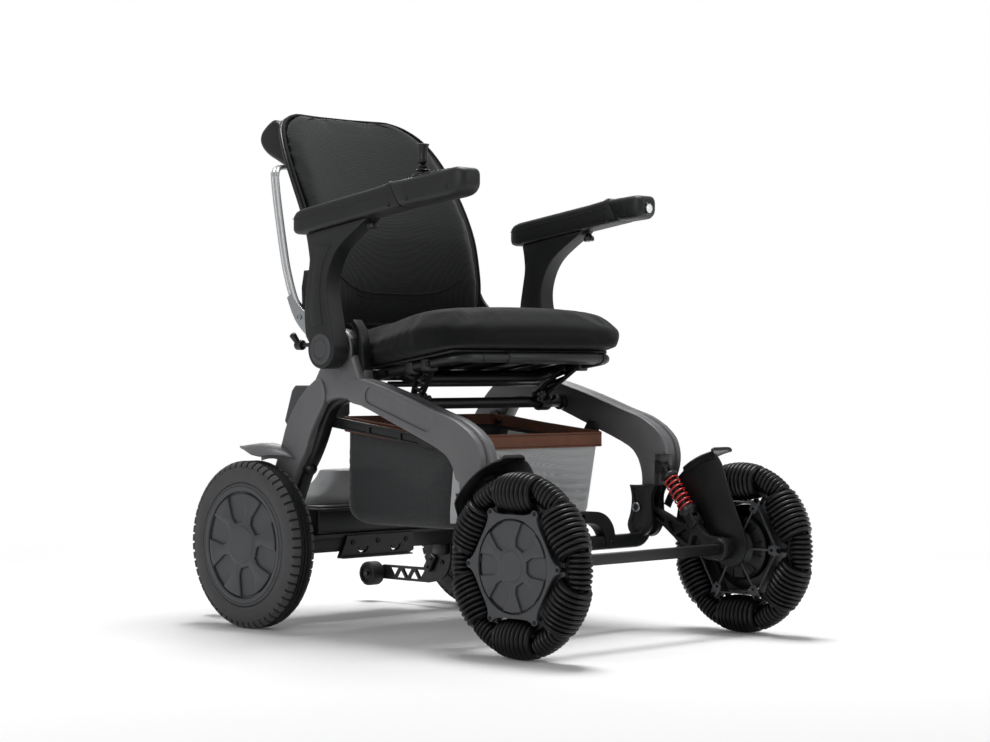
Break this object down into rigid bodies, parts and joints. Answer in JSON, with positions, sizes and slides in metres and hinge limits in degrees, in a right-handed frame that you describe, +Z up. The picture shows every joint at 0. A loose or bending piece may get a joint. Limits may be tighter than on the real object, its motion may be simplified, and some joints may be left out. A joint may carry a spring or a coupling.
{
  "type": "power wheelchair",
  "caption": "All-terrain power wheelchair with omni-roller front wheels on a sprung axle, reclining back, flip-up arms, joystick and under-seat basket.",
  "frame": {"origin": "bottom centre of the whole box, on the floor midway between the front and rear ends", "axes": "+Z up, -Y towards the front of the chair, +X towards the left side of the person in it"},
  "size_m": [0.655, 1.0994, 0.9994],
  "materials": {
    "grey_paint": "satin",
    "black_metal": "satin",
    "black_plastic": "fine-grained",
    "wheel_grey": "satin",
    "roller_rubber": "slightly glossy",
    "tyre_rubber": "matt",
    "spring_red": "glossy",
    "seat_fabric": "woven, matt",
    "light_grey": "satin",
    "brown_band": "matt",
    "net_grey": "open mesh",
    "bright_metal": "brushed",
    "lamp_white": "clear gloss"
  },
  "bodies": {
    "chassis": {"side_frame_left": "grey_paint", "side_frame_right": "grey_paint", "front_cross_tube": "black_metal", "front_cradle": "black_metal", "rear_axle_beam": "black_metal", "battery_tray": "black_plastic", "rear_cover": "light_grey", "rear_case": "black_plastic", "seat_frame": "black_metal", "seat_pan": "grey_paint", "seat_cushion": "seat_fabric", "basket_rim": "brown_band", "basket_net": "net_grey"},
    "swing_axle": {"front_axle": "black_metal", "front_fender_left": "black_plastic", "front_fender_right": "black_plastic"},
    "backrest": {"back_pad": "seat_fabric", "back_shell": "black_plastic", "back_hoop": "light_grey"},
    "control_pod": {"control_pod": "black_plastic", "joystick_boot": "roller_rubber"},
    "lamp_pod": {"lamp_pod": "black_plastic", "lamp_lens": "lamp_white"},
    "joystick_gimbal": {"joystick_gimbal": "bright_metal"},
    "joystick_stick": {"joystick_stick": "black_plastic"},
    "power_button": {"power_button": "black_metal"},
    "rear_wheel_right": {"rear_hub_right": "wheel_grey", "rear_tyre_right": "tyre_rubber"},
    "front_wheel_right": {"front_hub_right": "wheel_grey"},
    "shock_body_right": {"shock_body_right": "black_plastic", "shock_spring_right": "spring_red"},
    "shock_rod_right": {"shock_rod_right": "bright_metal"},
    "arm_right": {"arm_post_right": "black_plastic", "armrest_right": "black_plastic"},
    "thumb_screw_right": {"thumb_screw_right": "black_plastic"},
    "release_lever_right": {"release_lever_right": "black_plastic"},
    "anti_tip_wheel_right": {"anti_tip_wheel_right": "tyre_rubber"},
    "front_roller_right_1": {"front_roller_right_1": "roller_rubber"},
    "front_roller_right_2": {"front_roller_right_2": "roller_rubber"},
    "front_roller_right_3": {"front_roller_right_3": "roller_rubber"},
    "front_roller_right_4": {"front_roller_right_4": "roller_rubber"},
    "front_roller_right_5": {"front_roller_right_5": "roller_rubber"},
    "front_roller_right_6": {"front_roller_right_6": "roller_rubber"},
    "rear_wheel_left": {"rear_hub_left": "wheel_grey", "rear_tyre_left": "tyre_rubber"},
    "front_wheel_left": {"front_hub_left": "wheel_grey"},
    "shock_body_left": {"shock_body_left": "black_plastic", "shock_spring_left": "spring_red"},
    "shock_rod_left": {"shock_rod_left": "bright_metal"},
    "arm_left": {"arm_post_left": "black_plastic", "armrest_left": "black_plastic"},
    "thumb_screw_left": {"thumb_screw_left": "black_plastic"},
    "release_lever_left": {"release_lever_left": "black_plastic"},
    "anti_tip_wheel_left": {"anti_tip_wheel_left": "tyre_rubber"},
    "front_roller_left_1": {"front_roller_left_1": "roller_rubber"},
    "front_roller_left_2": {"front_roller_left_2": "roller_rubber"},
    "front_roller_left_3": {"front_roller_left_3": "roller_rubber"},
    "front_roller_left_4": {"front_roller_left_4": "roller_rubber"},
    "front_roller_left_5": {"front_roller_left_5": "roller_rubber"},
    "front_roller_left_6": {"front_roller_left_6": "roller_rubber"}
  },
  "joints": [
    {"name": "front_suspension", "type": "hinge", "parent": "chassis", "child": "swing_axle", "pos_m": [0, -0.206, 0.227], "axis": [1, 0, 0], "range_deg": [-6.5, 4.5], "stiffness_Nm_per_rad": 900, "springref_deg": 3.21},
    {"name": "backrest_recline", "type": "hinge", "parent": "chassis", "child": "backrest", "pos_m": [0, 0.109, 0.522], "axis": [-1, 0, 0], "range_deg": [0, 30]},
    {"name": "rear_wheel_right_spin", "type": "hinge", "parent": "chassis", "child": "rear_wheel_right", "pos_m": [-0.298, 0.307, 0.157], "axis": [1, 0, 0], "continuous": true},
    {"name": "front_wheel_right_spin", "type": "hinge", "parent": "swing_axle", "child": "front_wheel_right", "pos_m": [-0.2925, -0.393, 0.157], "axis": [1, 0, 0], "continuous": true},
    {"name": "front_roller_right_1_spin", "type": "hinge", "parent": "front_wheel_right", "child": "front_roller_right_1", "pos_m": [-0.2925, -0.49866, 0.218], "axis": [0, 0.5, 0.866], "continuous": true},
    {"name": "front_roller_right_2_spin", "type": "hinge", "parent": "front_wheel_right", "child": "front_roller_right_2", "pos_m": [-0.2925, -0.393, 0.279], "axis": [0, 1, 0], "continuous": true},
    {"name": "front_roller_right_3_spin", "type": "hinge", "parent": "front_wheel_right", "child": "front_roller_right_3", "pos_m": [-0.2925, -0.28735, 0.218], "axis": [0, 0.5, -0.866], "continuous": true},
    {"name": "front_roller_right_4_spin", "type": "hinge", "parent": "front_wheel_right", "child": "front_roller_right_4", "pos_m": [-0.2925, -0.28735, 0.096], "axis": [0, -0.5, -0.866], "continuous": true},
    {"name": "front_roller_right_5_spin", "type": "hinge", "parent": "front_wheel_right", "child": "front_roller_right_5", "pos_m": [-0.2925, -0.393, 0.035], "axis": [0, -1, 0], "continuous": true},
    {"name": "front_roller_right_6_spin", "type": "hinge", "parent": "front_wheel_right", "child": "front_roller_right_6", "pos_m": [-0.2925, -0.49866, 0.096], "axis": [0, -0.5, 0.866], "continuous": true},
    {"name": "shock_right_turn", "type": "hinge", "parent": "chassis", "child": "shock_body_right", "pos_m": [-0.228, -0.258, 0.302], "axis": [1, 0, 0], "range_deg": [-5.5, 4]},
    {"name": "shock_right_travel", "type": "slide", "parent": "shock_body_right", "child": "shock_rod_right", "axis": [0, -0.6078, -0.7941], "range_m": [-0.0105, 0.0075], "deforming": ["shock_spring_right"]},
    {"name": "arm_right_flip", "type": "hinge", "parent": "chassis", "child": "arm_right", "pos_m": [-0.2841, 0.109, 0.522], "axis": [-1, 0, 0], "range_deg": [0, 90]},
    {"name": "control_pod_slide", "type": "slide", "parent": "arm_right", "child": "control_pod", "axis": [0, -0.9904, 0.1384], "range_m": [0, 0.045]},
    {"name": "thumb_screw_right_turn", "type": "hinge", "parent": "arm_right", "child": "thumb_screw_right", "pos_m": [-0.2841, -0.013, 0.75596], "axis": [0, 0.1384, 0.9904], "continuous": true},
    {"name": "release_lever_right_turn", "type": "hinge", "parent": "arm_right", "child": "release_lever_right", "pos_m": [-0.2841, 0.202, 0.53], "axis": [0, 1, 0], "range_deg": [-90, 0]},
    {"name": "anti_tip_wheel_right_spin", "type": "hinge", "parent": "chassis", "child": "anti_tip_wheel_right", "pos_m": [-0.2, 0.525, 0.059], "axis": [1, 0, 0], "continuous": true},
    {"name": "rear_wheel_left_spin", "type": "hinge", "parent": "chassis", "child": "rear_wheel_left", "pos_m": [0.298, 0.307, 0.157], "axis": [1, 0, 0], "continuous": true},
    {"name": "front_wheel_left_spin", "type": "hinge", "parent": "swing_axle", "child": "front_wheel_left", "pos_m": [0.2925, -0.393, 0.157], "axis": [1, 0, 0], "continuous": true},
    {"name": "front_roller_left_1_spin", "type": "hinge", "parent": "front_wheel_left", "child": "front_roller_left_1", "pos_m": [0.2925, -0.49866, 0.218], "axis": [0, 0.5, 0.866], "continuous": true},
    {"name": "front_roller_left_2_spin", "type": "hinge", "parent": "front_wheel_left", "child": "front_roller_left_2", "pos_m": [0.2925, -0.393, 0.279], "axis": [0, 1, 0], "continuous": true},
    {"name": "front_roller_left_3_spin", "type": "hinge", "parent": "front_wheel_left", "child": "front_roller_left_3", "pos_m": [0.2925, -0.28735, 0.218], "axis": [0, 0.5, -0.866], "continuous": true},
    {"name": "front_roller_left_4_spin", "type": "hinge", "parent": "front_wheel_left", "child": "front_roller_left_4", "pos_m": [0.2925, -0.28735, 0.096], "axis": [0, -0.5, -0.866], "continuous": true},
    {"name": "front_roller_left_5_spin", "type": "hinge", "parent": "front_wheel_left", "child": "front_roller_left_5", "pos_m": [0.2925, -0.393, 0.035], "axis": [0, -1, 0], "continuous": true},
    {"name": "front_roller_left_6_spin", "type": "hinge", "parent": "front_wheel_left", "child": "front_roller_left_6", "pos_m": [0.2925, -0.49866, 0.096], "axis": [0, -0.5, 0.866], "continuous": true},
    {"name": "shock_left_turn", "type": "hinge", "parent": "chassis", "child": "shock_body_left", "pos_m": [0.228, -0.258, 0.302], "axis": [1, 0, 0], "range_deg": [-5.5, 4]},
    {"name": "shock_left_travel", "type": "slide", "parent": "shock_body_left", "child": "shock_rod_left", "axis": [0, -0.6078, -0.7941], "range_m": [-0.0105, 0.0075], "deforming": ["shock_spring_left"]},
    {"name": "arm_left_flip", "type": "hinge", "parent": "chassis", "child": "arm_left", "pos_m": [0.2841, 0.109, 0.522], "axis": [-1, 0, 0], "range_deg": [0, 90]},
    {"name": "lamp_pod_slide", "type": "slide", "parent": "arm_left", "child": "lamp_pod", "axis": [0, -0.9904, 0.1384], "range_m": [0, 0.045]},
    {"name": "thumb_screw_left_turn", "type": "hinge", "parent": "arm_left", "child": "thumb_screw_left", "pos_m": [0.2841, -0.013, 0.75596], "axis": [0, 0.1384, 0.9904], "continuous": true},
    {"name": "release_lever_left_turn", "type": "hinge", "parent": "arm_left", "child": "release_lever_left", "pos_m": [0.2841, 0.202, 0.53], "axis": [0, 1, 0], "range_deg": [0, 90]},
    {"name": "anti_tip_wheel_left_spin", "type": "hinge", "parent": "chassis", "child": "anti_tip_wheel_left", "pos_m": [0.2, 0.525, 0.059], "axis": [1, 0, 0], "continuous": true},
    {"name": "joystick_fore_tilt", "type": "hinge", "parent": "control_pod", "child": "joystick_gimbal", "pos_m": [-0.2841, -0.146, 0.8072], "axis": [1, 0, 0], "range_deg": [-15, 15], "stiffness_Nm_per_rad": 0.35},
    {"name": "joystick_side_tilt", "type": "hinge", "parent": "joystick_gimbal", "child": "joystick_stick", "pos_m": [-0.2841, -0.146, 0.8072], "axis": [0, 1, 0], "range_deg": [-15, 15], "stiffness_Nm_per_rad": 0.35},
    {"name": "power_button_press", "type": "slide", "parent": "control_pod", "child": "power_button", "axis": [0, 0, -1], "range_m": [0, 0.0012], "stiffness_N_per_m": 600}
  ],
  "couplings": [
    {"joint": "shock_right_turn", "follows": "front_suspension", "ratio": 0.7735},
    {"joint": "shock_right_travel", "follows": "front_suspension", "m_per_rad": 0.0869},
    {"joint": "shock_left_turn", "follows": "front_suspension", "ratio": 0.7735},
    {"joint": "shock_left_travel", "follows": "front_suspension", "m_per_rad": 0.0869}
  ]
}
